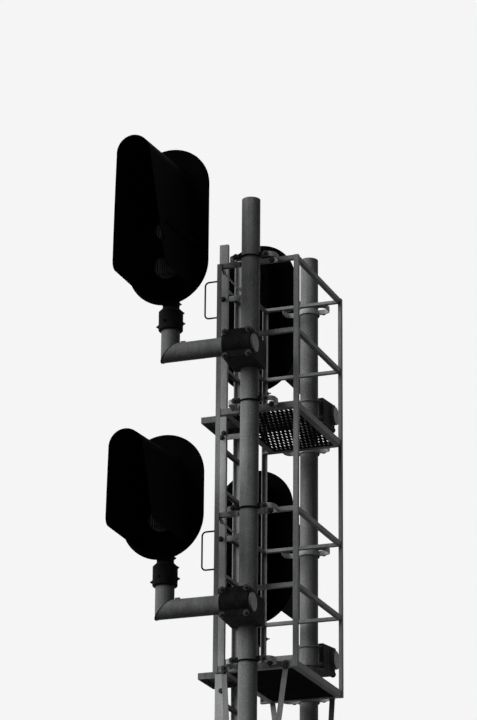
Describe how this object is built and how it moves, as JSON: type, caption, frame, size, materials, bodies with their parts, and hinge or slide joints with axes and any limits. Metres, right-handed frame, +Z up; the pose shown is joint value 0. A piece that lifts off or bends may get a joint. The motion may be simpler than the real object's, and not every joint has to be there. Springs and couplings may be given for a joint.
{
  "type": "railway signal structure with two tubular masts, caged platforms, ladder and hooded signal heads",
  "caption": "Twin-mast railway signal structure with caged platforms, a ladder and black hooded signal heads on side arms.",
  "frame": {"origin": "middle of the underside of the near mast's base plate, on the ground", "axes": "+X to the right along the near face, the ladder and signal heads on -X; +Y from the near mast to the far mast; +Z up"},
  "size_m": [1.143, 3.2052, 10.722],
  "materials": {
    "galvanised": "matte",
    "castings": "matte",
    "black_heads": "matte",
    "lenses": "gloss"
  },
  "bodies": {
    "root": {"near_mast": "galvanised", "far_mast": "galvanised", "mast_caps": "galvanised", "near_lower_arm": "galvanised", "near_upper_arm": "galvanised", "far_lower_arm": "galvanised", "far_upper_arm": "galvanised", "near_left_post": "galvanised", "near_right_post": "galvanised", "far_left_post": "galvanised", "far_right_post": "galvanised", "near_rails": "galvanised", "far_rails": "galvanised", "right_rails": "galvanised", "left_rails": "galvanised", "lower_platform_frame": "galvanised", "upper_platform_frame": "galvanised", "lower_platform_floor": "galvanised", "upper_platform_floor": "galvanised", "tie_frames": "galvanised", "foot_steps": "galvanised", "ladder_stiles": "galvanised", "ladder_rungs": "galvanised", "ladder_cleats": "galvanised", "grab_handles": "galvanised", "safety_chains": "galvanised", "mast_bow_straps": "galvanised", "mast_half_rings": "galvanised", "knee_braces": "galvanised", "brace_bands": "galvanised", "near_mast_base": "castings", "far_mast_base": "castings", "clamp_bodies": "castings", "clamp_mast_grips": "castings", "clamp_arm_grips": "castings", "head_sockets": "castings", "near_upper_background": "black_heads", "near_upper_housing": "black_heads", "near_upper_hood": "black_heads", "near_lower_background": "black_heads", "near_lower_housing": "black_heads", "near_lower_hood": "black_heads", "far_upper_background": "black_heads", "far_upper_housing": "black_heads", "far_upper_hood": "black_heads", "far_lower_background": "black_heads", "far_lower_housing": "black_heads", "far_lower_hood": "black_heads", "signal_lenses": "lenses"}
  },
  "joints": []
}
